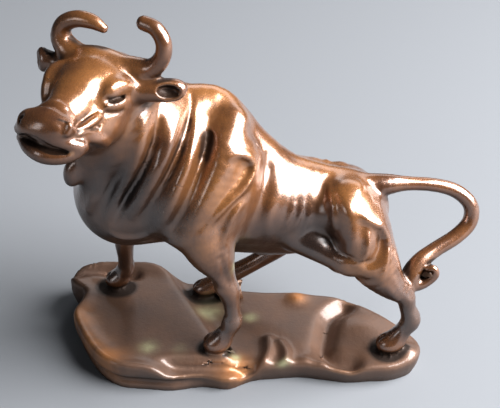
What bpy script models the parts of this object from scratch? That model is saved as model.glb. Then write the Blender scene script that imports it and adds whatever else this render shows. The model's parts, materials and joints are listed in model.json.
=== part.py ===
"""A small cast bronze bull on a rocky base, cast in one piece.

The figure is built the way a sculptor builds up wax: egg-shaped masses and tapering limbs are set
out on a skeleton, joined into one body, and the skin is then drawn smooth over them. Folds are
pressed into it last. The head points along -X, the near side is -Y, and the floor is at Z = 0.
"""

import math

import bmesh
import bpy
import numpy as np
from mathutils import Matrix, Vector

MM = 0.001

# Driving sizes, in millimetres.
WITHERS_HEIGHT = 47.0  # from the ground under the hooves to the top of the hump
BASE_THICKNESS = 4.0  # floor to the ground under the hooves
BASE_MARGIN = 4.5  # how far the base reaches past the hooves
BASE_FOOT = 1.0  # how far the rim overhangs the foot of the base
CANNON_RADIUS = 1.4  # the thin part of each leg
HORN_RADIUS = 1.3
TAIL_RADIUS = 1.2
EAR_RADIUS = 1.65

# The figure and the base are set out for these sizes, and follow them when they change.
SET_OUT_HEIGHT = 47.0
SET_OUT_GROUND = 4.0
SET_OUT_MARGIN = 4.5
FIGURE = WITHERS_HEIGHT / SET_OUT_HEIGHT

# The casting is centred on its own box.
CENTRE = (2.66, -4.23)

# Fineness of the skin, in millimetres, and the number of triangles that it ends with.
FIRST_SKIN = 0.8
LAST_SKIN = 0.5
TRIANGLES = 9200
BELOW_FLOOR = 1.5  # the rough block reaches this far under the floor before it is cut flat

NEAR, FAR = -1, 1


# Masses and limbs


def span_point(a, b, c, d, t):
    """A point on the Catmull-Rom span from b to c."""
    return 0.5 * (2 * b + (c - a) * t + (2 * a - 5 * b + 4 * c - d) * t**2 + (3 * b - a - 3 * c + d) * t**3)


def smooth_line(points, per_span=4):
    """Points on a smooth curve through the given ones."""
    points = np.array(points, float)
    ends = np.vstack([2 * points[0] - points[1], points, 2 * points[-1] - points[-2]])
    line = []
    for corners in zip(ends[:-3], ends[1:-2], ends[2:-1], ends[3:]):
        line += [span_point(*corners, t) for t in np.arange(per_span) / per_span]
    line.append(points[-1])
    return np.array(line)


def closed_line(points, per_span=3):
    """The same kind of curve, closed on itself."""
    points = np.array(points, float)
    rolled = [np.roll(points, turn, 0) for turn in (1, 0, -1, -2)]
    return np.array(
        [span_point(*corners, t) for corners in zip(*rolled) for t in np.arange(per_span) / per_span]
    )


class Ball:
    """An egg-shaped mass: a centre, three half-widths, and its turns about Y and then Z in degrees."""

    def __init__(self, centre, radii, turn=(0, 0), blend=2.0):
        self.centre = np.array(centre, float)
        self.radii = np.array(radii, float)
        self.axes = np.array(
            Matrix.Rotation(math.radians(turn[1]), 3, "Z")
            @ Matrix.Rotation(math.radians(turn[0]), 3, "Y")
        )
        self.blend = blend

    def placed(self, frame):
        """The same mass, carried from a frame's own axes to the body's."""
        moved = Ball(frame.point(self.centre), self.radii, blend=self.blend)
        moved.axes = frame.axes @ self.axes
        return moved

    def reach(self):
        far = self.radii.max()
        return self.centre - far, self.centre + far

    def distance(self, points):
        local = (points - self.centre) @ self.axes
        share = np.linalg.norm(local / self.radii, axis=1)
        slope = np.linalg.norm(local / self.radii**2, axis=1)
        return share * (share - 1) / np.maximum(slope, 1e-6)

    def add_to(self, mesh):
        axes = Matrix(self.axes.tolist()).to_4x4()
        place = Matrix.Translation(Vector(self.centre)) @ axes @ Matrix.Diagonal((*self.radii, 1))
        bmesh.ops.create_icosphere(mesh, subdivisions=3, radius=1, matrix=place)


class Limb:
    """A tapering limb through points (x, y, z, radius). Narrow is its width across the body."""

    def __init__(self, points, blend=2.0, narrow=1.0):
        self.line = smooth_line(points)
        self.blend = blend
        self.narrow = narrow

    def placed(self, frame):
        moved = Limb([(0, 0, 0, 1), (1, 0, 0, 1)], self.blend, self.narrow)
        moved.line = self.line.copy()
        moved.line[:, :3] = [frame.point(p) for p in self.line[:, :3]]
        return moved

    def reach(self):
        centres, radii = self.line[:, :3], self.line[:, 3:]
        return (centres - radii).min(0), (centres + radii).max(0)

    def distance(self, points):
        squeeze = np.array((1, self.narrow, 1))
        found = points / squeeze
        best = np.full(len(points), 1e9)
        for start, end in zip(self.line[:-1], self.line[1:]):
            a, b = start[:3] / squeeze, end[:3] / squeeze
            along = np.clip((found - a) @ (b - a) / max((b - a) @ (b - a), 1e-9), 0, 1)
            nearest = a + along[:, None] * (b - a)
            radius = start[3] + along * (end[3] - start[3])
            best = np.minimum(best, np.linalg.norm(found - nearest, axis=1) - radius)
        return best * min(self.narrow, 1)

    def add_to(self, mesh):
        for start, end in zip(self.line[:-1], self.line[1:]):
            steps = max(1, math.ceil(np.linalg.norm(end[:3] - start[:3]) / (0.6 * start[3])))
            for t in np.arange(steps + 1) / steps:
                x, y, z, radius = start + t * (end - start)
                place = Matrix.Translation((x, y, z)) @ Matrix.Diagonal((1, self.narrow, 1, 1))
                bmesh.ops.create_icosphere(mesh, subdivisions=2, radius=radius, matrix=place)


class Frame:
    """A part of the body with axes of its own: left, forward and up."""

    def __init__(self, origin, turned, raised):
        turned, raised = math.radians(turned), math.radians(raised)
        forward = np.array(
            (-math.cos(turned) * math.cos(raised), -math.sin(turned) * math.cos(raised), math.sin(raised))
        )
        left = np.array((math.sin(turned), -math.cos(turned), 0.0))
        self.origin = np.array(origin, float)
        self.axes = np.column_stack([left, forward, np.cross(left, forward)])
        if self.axes[2, 2] < 0:
            self.axes[:, 2] *= -1

    def point(self, local):
        return self.origin + self.axes @ np.asarray(local, float)


def smooth_union(one, other, blend):
    share = np.clip(0.5 + 0.5 * (other - one) / blend, 0, 1)
    return other * (1 - share) + one * share - blend * share * (1 - share)


def smooth_cut(body, tool, blend):
    return -smooth_union(-body, tool, blend)


# The bull's masses


def trunk():
    return [
        Limb([(-18.2, -1, 34.6, 9.6), (-12, -0.5, 35.2, 11.6), (-4, 0, 32.8, 10.4), (4, 0, 29.8, 8.2),
              (12, 0, 28.8, 6.6), (17, 0, 28.0, 6.0)], blend=2.5, narrow=0.92),
        Limb([(-17, -1, 45.4, 4.0), (-11.5, -0.5, 46.4, 4.0), (-6.4, 0, 46.8, 3.9), (-3.4, 0, 44.2, 3.8),
              (0.2, 0, 39.2, 3.6), (4.0, 0, 35.4, 3.1), (10, 0, 32.6, 3.0), (17, 0, 31.4, 2.8)], blend=2.0),
        Ball((-20.4, -1.8, 31.6), (7.8, 7.8, 7.9), blend=3.5),
        Ball((15.2, 0, 28.6), (6.6, 6.2, 4.7), blend=2.5),
        Limb([(-2, 0, 24.2, 4.4), (5, 0, 23.2, 3.9), (12, -1, 23.6, 3.3)], blend=2),
        Limb([(8, 3.2, 33.6, 1.9), (12, 4.0, 32.8, 2.1), (16, 3.8, 31.2, 2.2)], blend=1.4),
        Limb([(8, -4.6, 25.2, 2.6), (12, -6.2, 24.2, 2.6), (16, -7.4, 22.8, 2.6)], blend=1.6),
        Limb([(6, 0, 20.6, 1.4), (2, 0, 19.6, 1.2)], blend=1.4),
        Ball((17.0, 0.4, 21.2), (2.0, 2.2, 2.8), blend=1.2),
    ]


def neck():
    return [
        Limb([(-13, -1, 39, 9.8), (-17, -3.2, 44.5, 8.6), (-19.6, -5.0, 49.5, 7.0), (-20.6, -6.2, 54, 5.4)],
             blend=3.5),
        Limb([(-23.4, -11.2, 49.5, 1.8), (-24.6, -9.2, 44, 2.1), (-24.6, -7.2, 38, 2.2),
              (-23.6, -4.8, 32, 2.6), (-21.5, -2, 27.8, 2.8)], blend=2.4),
        Ball((-27.2, -9.5, 41.0), (1.5, 1.5, 2.5), turn=(12, 0), blend=1.4),
    ]


def near_shoulder():
    return [
        Limb([(-2.6, -3.4, 46.2, 2.4), (-4.0, -6.4, 43.2, 3.3), (-6.2, -8.0, 39.5, 4.0),
              (-8.4, -8.6, 35, 4.5), (-10.0, -8.6, 31, 4.4)], blend=2.4),
        Limb([(-1.6, -5.3, 42.3, 1.9), (-1.0, -6.0, 39.6, 2.3), (-2.2, -7.3, 36.0, 2.9),
              (-4.2, -8.4, 32, 3.2), (-5.4, -9.0, 28.5, 2.8)], blend=2.2),
    ]


def far_shoulder():
    return [
        Limb([(-7, 5.0, 42, 2.8), (-9, 6.6, 39, 3.8), (-12.5, 7.6, 34.5, 4.6), (-16.5, 7.2, 30, 4.4)],
             blend=1.8),
        Limb([(-4, 5.6, 37, 2.4), (-7.5, 7.2, 33.5, 3.1), (-12, 7.6, 29.5, 3.3)], blend=1.5),
    ]


def forelegs():
    thin = CANNON_RADIUS / FIGURE
    return [
        Limb([(-7.9, -9.0, 30, 4.6), (-6.4, -9.5, 26.4, 3.9), (-5.0, -9.7, 23, 2.5), (-4.0, -9.8, 20.3, 1.75),
              (-3.5, -9.8, 18.2, 1.85), (-3.1, -9.8, 15.4, thin), (-2.9, -9.8, 13.2, thin),
              (-3.0, -9.8, 11.6, 1.75), (-3.7, -9.8, 9.8, 1.5), (-4.6, -9.7, 8.2, 1.7)], blend=1.1),
        Limb([(-17.5, 6.6, 28, 4.2), (-20.3, 6.4, 22.8, 2.9), (-21.9, 6.4, 18.4, 1.9),
              (-22.3, 6.5, 15.8, 1.7), (-22.3, 6.7, 13, thin), (-22.4, 7, 11, thin),
              (-22.5, 7.2, 9.8, 1.6), (-23.3, 7.3, 8.4, 1.6)], blend=1.1),
    ]


def hind_legs():
    thin = CANNON_RADIUS / FIGURE
    return [
        Limb([(15.8, -4.2, 30.6, 5.2), (18.0, -5.6, 26.5, 5.1), (20.4, -6.8, 22, 4.2),
              (23.0, -7.8, 18.4, 2.7), (25.7, -8.2, 16.0, 1.8), (26.5, -8.3, 13.4, thin),
              (27.2, -8.4, 10.8, 1.7), (26.2, -8.5, 8.8, 1.45), (25.2, -8.6, 7.2, 1.7)], blend=1.3),
        Ball((16.6, -8.4, 23.2), (3.4, 2.2, 2.6), turn=(-25, 0), blend=1.0),
        Limb([(16.2, 3.8, 26.8, 4.4), (13.2, 6.0, 24.6, 4.4), (10.3, 7.2, 20.8, 3.4), (7.6, 7.5, 17.2, 2.3),
              (5.0, 7.4, 14.5, 1.95), (1.2, 7.2, 11.5, 1.1 * thin), (-3.4, 7.0, 8.7, 1.65),
              (-5.6, 7, 7.3, 1.5), (-6.8, 7, 6.4, 1.6)], blend=1.3),
    ]


def hooves():
    return [
        Ball((-5.6, -9.7, 6.9), (2.5, 2.1, 1.9), turn=(-14, 0), blend=0.7),
        Ball((-24.1, 7.3, 7.4), (2.4, 1.9, 1.7), turn=(-12, 0), blend=0.7),
        Ball((24.0, -8.7, 6.0), (2.5, 2.1, 1.8), turn=(-14, 0), blend=0.7),
        Ball((-8.1, 7.0, 5.6), (2.5, 1.9, 1.7), turn=(-14, 0), blend=0.7),
    ]


def tail():
    r = TAIL_RADIUS / FIGURE
    return [
        Limb([(18.5, 0, 32.0, 2.4), (22.4, 0, 32.6, 1.5 * r), (26.0, 0.3, 32.6, r),
              (30.5, 0.6, 32.1, 0.95 * r), (34.2, 0.6, 30.9, r), (36.8, 0.3, 28.4, 1.05 * r),
              (36.9, -0.4, 25.4, 1.1 * r), (34.6, -1.6, 23.2, 1.1 * r), (31, -3.2, 21.6, 1.1 * r), (28.3, -4.8, 20.2, 1.25 * r),
              (26.9, -6.0, 18.2, 1.4 * r), (27.6, -6.4, 16.9, 1.1 * r), (29.5, -6.4, 17.3, 0.75 * r),
              (30.9, -6.4, 18.8, 0.6 * r), (30.5, -6.4, 20.1, 0.5 * r), (29.5, -6.4, 19.9, 0.4 * r)],
             blend=0.6),
    ]


HEAD = Frame((-21.6, -6.0, 58.6), turned=66, raised=5)


def head():
    parts = [
        Ball((0.2, 3.0, -3.6), (6.0, 5.6, 5.2), blend=2),
        Ball((0, 5.2, -3.2), (5.5, 5.0, 3.7), blend=2),
        Limb([(-5.6, 0, -0.6, 1.8), (-1, 0.6, 0.2, 1.7), (2.4, 0.6, -0.5, 1.7), (5.6, 0, -1.0, 1.8)],
             blend=1.5),
        Limb([(0, 6.5, -3.6, 3.8), (0, 11, -4.4, 3.2), (0, 14.2, -4.8, 2.8)], blend=1.6),
        Ball((-0.5, 15.0, -4.4), (4.5, 2.5, 2.3), blend=1.1),
        Limb([(-4.5, 15.4, -5.8, 1.0), (-2.7, 16.3, -5.0, 1.1), (-0.6, 16.3, -5.1, 1.15),
              (1.4, 16.0, -5.9, 1.2), (3.0, 15.1, -6.6, 1.1), (4.0, 14.0, -7.2, 0.9)], blend=0.8),
        Limb([(0, 3, -8.4, 3.8), (0, 8, -8.8, 3.3), (0, 12, -9.0, 2.4)], blend=2),
        Ball((-0.3, 12.6, -8.6), (4.1, 3.0, 1.9), blend=1.2),
        Limb([(-4.8, 14.6, -7.6, 1.0), (-2.8, 15.9, -8.2, 1.2), (-0.4, 16.3, -8.5, 1.4),
              (1.8, 15.6, -8.5, 1.35), (3.3, 14.4, -8.2, 1.15), (4.0, 13.2, -7.8, 0.9)], blend=0.8),
        Ball((-4.8, 6.2, -3.3), (1.4, 3.0, 2.8), blend=1.5),
        Ball((-4.7, 4.6, -1.4), (1.5, 2.6, 1.5), blend=1.2),
    ]
    for side in (NEAR, FAR):
        parts += [
            Ball((side * 3.4, 6.0, -7.0), (2.4, 4.0, 3.6), blend=1.5),
            Ball((side * 4.6, 6.3, -3.2), (1.1, 1.6, 1.2), blend=0.5),
            Limb([(side * 4.2, 7.2, -2.0, 0.8), (side * 4.8, 5.9, -1.4, 1.1), (side * 5.3, 4.2, -1.5, 1.2),
                  (side * 5.6, 2.4, -2.3, 1.0)], blend=0.8),
            Limb([(side * 3.4, 14.2, -5.1, 0.5), (side * 3.8, 12.4, -5.0, 0.6), (side * 4.2, 10.4, -4.8, 0.7),
                  (side * 4.4, 9.2, -4.5, 0.5)], blend=0.6),
            Limb([(side * 3.7, 12.8, -7.0, 0.5), (side * 4.1, 11.2, -7.3, 0.65), (side * 4.4, 9.6, -8.0, 0.8),
                  (side * 4.3, 7.8, -9.2, 0.9)], blend=0.7),
        ]
    return [part.placed(HEAD) for part in parts]


def mouth():
    return Limb([(-4.0, 16.2, -6.7, 0.35), (-2.6, 17.2, -6.2, 0.75), (-0.8, 17.4, -6.3, 0.85),
                 (1.0, 17.1, -7.0, 0.7), (2.4, 16.2, -7.4, 0.45), (3.4, 15.4, -7.7, 0.25)]).placed(HEAD)


def ears():
    r = EAR_RADIUS / FIGURE
    return [
        Limb([(4.6, 1.4, -3.2, 1.15 * r), (7.4, 0.6, -3.2, 1.08 * r), (10.0, -0.2, -3.0, 1.08 * r),
              (11.3, -0.8, -2.9, r), (12.0, -1.2, -2.7, 0.7 * r)], blend=0.9).placed(HEAD),
        Limb([(-4.6, 0.6, -2.2, 1.05 * r), (-7.4, 0.2, -2.0, 0.85 * r), (-9.2, 0.3, -1.9, 0.85 * r)],
             blend=0.9).placed(HEAD),
        Ball((-10.3, 0.6, -1.9), (0.6 * r, 0.8 * r, 1.2 * r), turn=(0, -49), blend=0.9).placed(HEAD),
    ]


def ear_cups():
    return [
        Ball((11.3, 1.0, -2.7), (1.8, 1.5, 1.05), turn=(8, -25)).placed(HEAD),
        Ball((-11.0, 1.45, -1.9), (0.7, 0.85, 1.45), turn=(0, -49)).placed(HEAD),
    ]


def horns():
    r = HORN_RADIUS / FIGURE
    return [
        Limb([(5.0, 0, -0.8, 1.45 * r), (8.0, 0, 0.1, 1.15 * r), (9.75, 0, 2.2, 0.97 * r),
              (9.95, 0, 4.5, 0.92 * r), (8.7, 0, 6.3, 0.88 * r), (6.8, 0, 6.8, 0.85 * r)],
             blend=1.0).placed(HEAD),
        Limb([(-5.2, 0, -0.4, 1.55 * r), (-7.1, 0, 1.8, 1.28 * r), (-6.7, 0, 4.1, 1.05 * r),
              (-4.5, 0, 5.4, 0.98 * r), (-1.9, 0, 5.5, 0.88 * r), (0.1, 0, 4.8, 0.55 * r)],
             blend=1.0).placed(HEAD),
    ]


class Fold:
    """A ridge drawn over one side through points (x, z). Below zero its height makes a crease."""

    def __init__(self, points, height, width, side=NEAR):
        self.line = smooth_line([(x, z) for x, z in points], per_span=3)
        self.height = height
        self.width = width
        self.side = side

    def lift(self, points):
        low, high = self.line.min(0) - 3 * self.width, self.line.max(0) + 3 * self.width
        flat = points[:, (0, 2)]
        lifted = np.zeros(len(points))
        near = ((flat > low) & (flat < high)).all(1) & (self.side * points[:, 1] > 0)
        if not near.any():
            return lifted
        spot, best, share = flat[near], np.full(near.sum(), 1e9), np.zeros(near.sum())
        spans = len(self.line) - 1
        for k, (a, b) in enumerate(zip(self.line[:-1], self.line[1:])):
            along = np.clip((spot - a) @ (b - a) / max((b - a) @ (b - a), 1e-9), 0, 1)
            gap = np.linalg.norm(spot - a - along[:, None] * (b - a), axis=1)
            closer = gap < best
            best = np.where(closer, gap, best)
            share = np.where(closer, (k + along) / spans, share)
        ends = np.clip(5 * share * (1 - share), 0, 1)
        depth = np.clip((self.side * points[near, 1] - 1.0) / 3.0, 0, 1)
        lifted[near] = self.height * np.exp(-((best / self.width) ** 2)) * ends * depth
        return lifted


def folds():
    """The dewlap's long folds, the edges of the shoulder, and the hollows of flank and thigh."""
    drawn = []
    for side in (NEAR, FAR):
        drawn += [
            Fold([(-5.8, 46.6), (-6.8, 43.3), (-8.6, 38.8), (-10.9, 33.9), (-13.0, 29.0)], -1.3, 1.3, side),
            Fold([(-7.6, 48.4), (-9.0, 44.7), (-11.5, 38.9), (-14.0, 33.5), (-15.6, 29.6)], 0.8, 1.1, side),
            Fold([(-9.4, 49.2), (-10.4, 45.6), (-12.6, 41.4), (-15.2, 36.8), (-17.6, 31.6)], -0.9, 0.9, side),
            Fold([(-11.0, 53.0), (-11.6, 47.4), (-14.4, 41.2), (-17.0, 36.2), (-19.0, 32.6)], 0.7, 1.3, side),
            Fold([(-13.7, 52.5), (-14.4, 47.0), (-17.0, 41.0), (-19.3, 36.4), (-21.8, 31.0)], -1.1, 0.9, side),
            Fold([(-15.6, 52), (-16.4, 46.6), (-18.9, 40.6), (-21.2, 36), (-23.4, 31.6)], 0.55, 1.1, side),
            Fold([(-17.6, 47.0), (-20.2, 40.2), (-22.6, 35.2), (-24.6, 31.4)], -0.45, 0.9, side),
            Fold([(-19.2, 48.0), (-21.8, 41.4), (-23.8, 37.0), (-25.8, 32.8)], 0.4, 1.0, side),
            Fold([(-3.8, 44.2), (-1.9, 44.1), (-0.3, 43.2), (0.8, 41.7), (0.6, 40.1), (-0.8, 38.5),
                  (-2.9, 36.9), (-5.6, 34.2), (-8.6, 30.4)], 0.85, 0.75, side),
            Fold([(2.8, 41.0), (2.6, 37.5), (1.4, 33.0), (-0.6, 27.5)], -0.8, 1.3, side),
            Fold([(-0.8, 36.4), (-2.4, 34.4), (-3.4, 31.8), (-4.4, 28.4)], 0.6, 0.7, side),
            Fold([(12.2, 36.0), (13.0, 31.5), (13.4, 27.5), (14.2, 24.6)], -0.7, 1.5, side),
            Fold([(14.6, 34.8), (16.0, 32.4), (16.4, 29.0), (15.2, 25.2)], 0.5, 1.0, side),
            Fold([(16.4, 33.4), (19.2, 31.8), (21.4, 30.0), (22.4, 26.8)], 0.8, 0.9, side),
            Fold([(17.4, 34.8), (19.6, 33.8), (21.4, 32.4)], -0.5, 0.9, side),
            Fold([(20.8, 30.6), (20.9, 27.4), (20.0, 24.6), (18.0, 23.8)], -0.7, 0.9, side),
        ]
    return drawn


def bull():
    return [*trunk(), *neck(), *near_shoulder(), *far_shoulder(), *forelegs(), *hind_legs(), *hooves(),
            *tail(), *head(), *ears(), *horns()]


def bull_distance(points, parts, cuts, drawn):
    """Signed distance to the bull's skin, negative inside. Each mass counts only near itself."""
    found = np.full(len(points), 30.0)
    for part in parts:
        low, high = part.reach()
        margin = part.blend + 3.0
        near = ((points > low - margin) & (points < high + margin)).all(1)
        if near.any():
            found[near] = smooth_union(found[near], part.distance(points[near]), part.blend)
    for tool in cuts:
        low, high = tool.reach()
        near = ((points > low - 2) & (points < high + 2)).all(1)
        if near.any():
            found[near] = smooth_cut(found[near], tool.distance(points[near]), 0.5)
    close = np.abs(found) < 3
    for fold in drawn:
        found[close] -= fold.lift(points[close])
    return found


# The rocky base

# The base's foot seen from above, going round it from its left end along the near side.
OUTLINE = (
    (-31.4, -0.5), (-29.6, -5.5), (-26.4, -11.0), (-22.4, -14.2), (-17.5, -14.9), (-13.0, -15.3),
    (-8.0, -14.4), (-3.5, -15.0), (0.6, -12.9), (4.8, -12.3), (8.6, -12.0), (12.5, -12.6), (16.4, -13.3),
    (20.6, -13.0), (24.6, -12.6), (28.4, -10.6), (29.6, -7.0), (28.0, -3.6), (24.6, 0.2), (20.8, 3.6),
    (17.2, 6.2), (12.0, 7.2), (6.5, 7.9), (2.0, 8.0), (-3.0, 8.8), (-7.0, 10.4), (-11.4, 10.6),
    (-14.0, 12.4), (-18.0, 14.4), (-23.0, 14.4), (-27.6, 14.2), (-31.4, 12.6), (-33.2, 9.8),
    (-32.0, 7.2), (-30.2, 5.6), (-30.4, 3.0),
)


def base_outline():
    grown = BASE_MARGIN - SET_OUT_MARGIN
    points = closed_line(OUTLINE)
    out = points - points.mean(0)
    return FIGURE * points + grown * out / np.linalg.norm(out, axis=1)[:, None]


def outline_distance(x, y):
    """Distance to the outline in plan, negative inside it."""
    corners = base_outline()
    spot = np.column_stack([x, y])
    best = np.full(len(x), 1e9)
    inside = np.zeros(len(x), bool)
    for a, b in zip(corners, np.roll(corners, -1, 0)):
        along = np.clip((spot - a) @ (b - a) / ((b - a) @ (b - a)), 0, 1)
        best = np.minimum(best, np.linalg.norm(spot - a - along[:, None] * (b - a), axis=1))
        crosses = (a[1] > y) != (b[1] > y)
        rise = b[1] - a[1] if abs(b[1] - a[1]) > 1e-9 else 1e-9
        inside ^= crosses & (x < (b[0] - a[0]) * (y - a[1]) / rise + a[0])
    return np.where(inside, -best, best)


def step(value, soft):
    return 1 / (1 + np.exp(np.clip(-value / soft, -40, 40)))


def bump(x, y, cx, cy, wide):
    return np.exp(-((x - cx) ** 2 + (y - cy) ** 2) / wide**2)


def welt(x, y, points, wide):
    """One along a smooth line drawn on the rock, and falling to nothing beside it."""
    spot, best = np.column_stack([x, y]), np.full(len(x), 1e9)
    line = smooth_line(points, per_span=3)
    for a, b in zip(line[:-1], line[1:]):
        along = np.clip((spot - a) @ (b - a) / ((b - a) @ (b - a)), 0, 1)
        best = np.minimum(best, np.linalg.norm(spot - a - along[:, None] * (b - a), axis=1))
    return np.exp(-((best / wide) ** 2))


# Lines on the rock: the groove behind the left lobe, two ripples and the crescent hollow on the right.
LOBE_GROOVE = ((-32.4, 10.4), (-29.4, 11.6), (-25.2, 11.8), (-21.6, 11.2))
RIPPLES = (
    ((3.2, -6.0), (3.2, -9.4), (2.2, -12.2), (0.8, -14.4)),
    ((5.2, -7.0), (6.2, -9.6), (5.8, -13.0)),
)
HOLLOW = ((17.0, 3.6), (14.4, 0.8), (13.2, -4.4), (12.7, -8.0), (14.4, -10.4), (17.2, -11.4))


def ground(x, y, side):
    """Height of the rock's upper face: a slab on the left, a ledge before it and a hollow on the right."""
    x, y = x / FIGURE, y / FIGURE
    height = 1.3 * step(-8.7 - 0.5 * y - x, 0.5)
    height += 1.0 * np.exp(-((side / 2.0) ** 2)) * step(-17 - x, 1.5)
    height += 0.9 * bump(x, y, -29.5, 10.5, 3.6) - 1.3 * welt(x, y, LOBE_GROOVE, 1.2)
    height -= 2.2 * step(-11.9 - y, 0.3) * step(x + 14.5, 0.8) * step(1.6 - x, 0.5)
    for ripple in RIPPLES:
        height += welt(x, y, ripple, 1.0)
    height -= 1.9 * welt(x, y, HOLLOW, 1.7)
    height += 0.9 * bump(x, y, 19.8, -2.8, 4.2) + 1.2 * bump(x, y, 27.0, -9.2, 1.9)
    height += 0.7 * bump(x, y, 8.4, 5.6, 1.7)
    height += 0.4 * bump(x, y, 9.4, -11.0, 1.1) + 0.4 * bump(x, y, 12.6, -11.4, 1.2)
    return BASE_THICKNESS + height


def base_distance(points):
    """Signed distance to the rock, with its wall drawn in under the rim on the left."""
    found = np.full(len(points), 30.0)
    low = points[:, 2] < BASE_THICKNESS + 6
    x, y, z = points[low].T
    plan = outline_distance(x, y)
    share = np.clip(z / BASE_THICKNESS, 0, 1)
    side = plan + BASE_FOOT * (1 - share) ** 2
    side += 1.1 * np.exp(-(((share - 0.5) / 0.24) ** 2)) * step(-9 - x, 1.5) * step(4 - y, 2.0)
    top = -smooth_union(-side, -(z - ground(x, y, plan)), 1.0)
    found[low] = np.maximum(top, -(z + BELOW_FLOOR))
    return found


# The whole casting


def to_figure(points):
    return (points - (0, 0, BASE_THICKNESS)) / FIGURE + (0, 0, SET_OUT_GROUND)


def from_figure(points):
    return (points - (0, 0, SET_OUT_GROUND)) * FIGURE + (0, 0, BASE_THICKNESS)


class Casting:
    def __init__(self):
        self.parts = bull()
        self.cuts = [mouth(), *ear_cups()]
        self.folds = folds()

    def distance(self, points):
        figure = FIGURE * bull_distance(to_figure(points), self.parts, self.cuts, self.folds)
        return smooth_union(figure, base_distance(points), 0.6)

    def slope(self, points, step=0.05):
        """The distance's gradient, from four points round each."""
        total = np.zeros_like(points)
        for corner in ((1, -1, -1), (-1, -1, 1), (-1, 1, -1), (1, 1, 1)):
            corner = np.array(corner, float)
            total += corner * self.distance(points + corner * step)[:, None]
        return total / (4 * step)


def rough_mesh(casting):
    """Every mass as its own closed shell, overlapping its neighbours."""
    mesh = bmesh.new()
    for part in casting.parts:
        part.add_to(mesh)
    for vertex in mesh.verts:
        vertex.co = from_figure(np.array(vertex.co))
    foot = [mesh.verts.new((x, y, -BELOW_FLOOR)) for x, y in base_outline()]
    face = mesh.faces.new(foot)
    raised = bmesh.ops.extrude_face_region(mesh, geom=[face])["geom"]
    for vertex in raised:
        if isinstance(vertex, bmesh.types.BMVert):
            vertex.co.z = BASE_THICKNESS + 1
    return mesh


def points_of(mesh):
    points = np.empty(len(mesh.vertices) * 3)
    mesh.vertices.foreach_get("co", points)
    return points.reshape(-1, 3)


def evaluated(obj):
    graph = bpy.context.evaluated_depsgraph_get()
    return bpy.data.meshes.new_from_object(obj.evaluated_get(graph))


def reskin(obj, size):
    """Joins what overlaps into one skin of even faces, and drops the pockets shut inside it."""
    skin = obj.modifiers.new("skin", "REMESH")
    skin.mode = "VOXEL"
    skin.voxel_size = size
    data = evaluated(obj)
    obj.modifiers.remove(skin)
    mesh = bmesh.new()
    mesh.from_mesh(data)
    shells, seen = [], set()
    for start in mesh.verts:
        if start in seen:
            continue
        shell, found = [start], {start}
        for vertex in shell:
            for edge in vertex.link_edges:
                other = edge.other_vert(vertex)
                if other not in found:
                    found.add(other)
                    shell.append(other)
        seen |= found
        shells.append(shell)
    shells.sort(key=len)
    pockets = [vertex for shell in shells[:-1] for vertex in shell]
    bmesh.ops.delete(mesh, geom=pockets, context="VERTS")
    mesh.to_mesh(data)
    mesh.free()
    obj.data = data


def settle(obj, casting, rounds):
    """Draws the skin onto the smoothly blended masses."""
    points = points_of(obj.data)
    for _ in range(rounds):
        distance, slope = casting.distance(points), casting.slope(points)
        step = distance / np.maximum((slope**2).sum(1), 0.2)
        points = points - np.clip(step, -0.8, 0.8)[:, None] * slope
    obj.data.vertices.foreach_set("co", points.ravel())
    obj.data.update()


def cut_flat_below(obj):
    """Cuts the base flat where it stands on the floor."""
    mesh = bmesh.new()
    mesh.from_mesh(obj.data)
    everything = [*mesh.verts, *mesh.edges, *mesh.faces]
    bmesh.ops.bisect_plane(mesh, geom=everything, dist=1e-5, plane_co=(0, 0, 0), plane_no=(0, 0, -1),
                           clear_outer=True)
    rim = [edge for edge in mesh.edges if edge.is_boundary]
    bmesh.ops.contextual_create(mesh, geom=rim)
    bmesh.ops.triangulate(mesh, faces=mesh.faces[:])
    mesh.to_mesh(obj.data)
    mesh.free()


def bronze():
    material = bpy.data.materials.new("patinated_bronze")
    material.use_nodes = True
    shader = material.node_tree.nodes["Principled BSDF"]
    shader.inputs["Base Color"].default_value = (0.36, 0.19, 0.10, 1)
    shader.inputs["Metallic"].default_value = 1
    shader.inputs["Roughness"].default_value = 0.3
    return material


def thin_out(obj, triangles):
    """Keeps the wanted number of triangles, most of them where the form turns."""
    mesh = bmesh.new()
    mesh.from_mesh(obj.data)
    bmesh.ops.triangulate(mesh, faces=mesh.faces[:])
    mesh.to_mesh(obj.data)
    mesh.free()
    fewer = obj.modifiers.new("fewer", "DECIMATE")
    fewer.ratio = triangles / len(obj.data.polygons)
    data = evaluated(obj)
    obj.modifiers.remove(fewer)
    obj.data = data


def main():
    for obj in list(bpy.data.objects):
        bpy.data.objects.remove(obj)
    casting = Casting()
    rough = rough_mesh(casting)
    data = bpy.data.meshes.new("bull_on_rock_base")
    rough.to_mesh(data)
    rough.free()
    obj = bpy.data.objects.new("bull_on_rock_base", data)
    bpy.context.scene.collection.objects.link(obj)
    reskin(obj, FIRST_SKIN)
    settle(obj, casting, 5)
    reskin(obj, LAST_SKIN)
    settle(obj, casting, 5)
    thin_out(obj, TRIANGLES)
    cut_flat_below(obj)
    place = Matrix.Scale(MM, 4) @ Matrix.Translation((-CENTRE[0], -CENTRE[1], 0))
    obj.data.transform(place)
    obj.data.materials.clear()
    obj.data.materials.append(bronze())


main()
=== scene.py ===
"""A small cast bronze bull on a rocky base, dressed in its patina, on a plain studio floor."""

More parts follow.
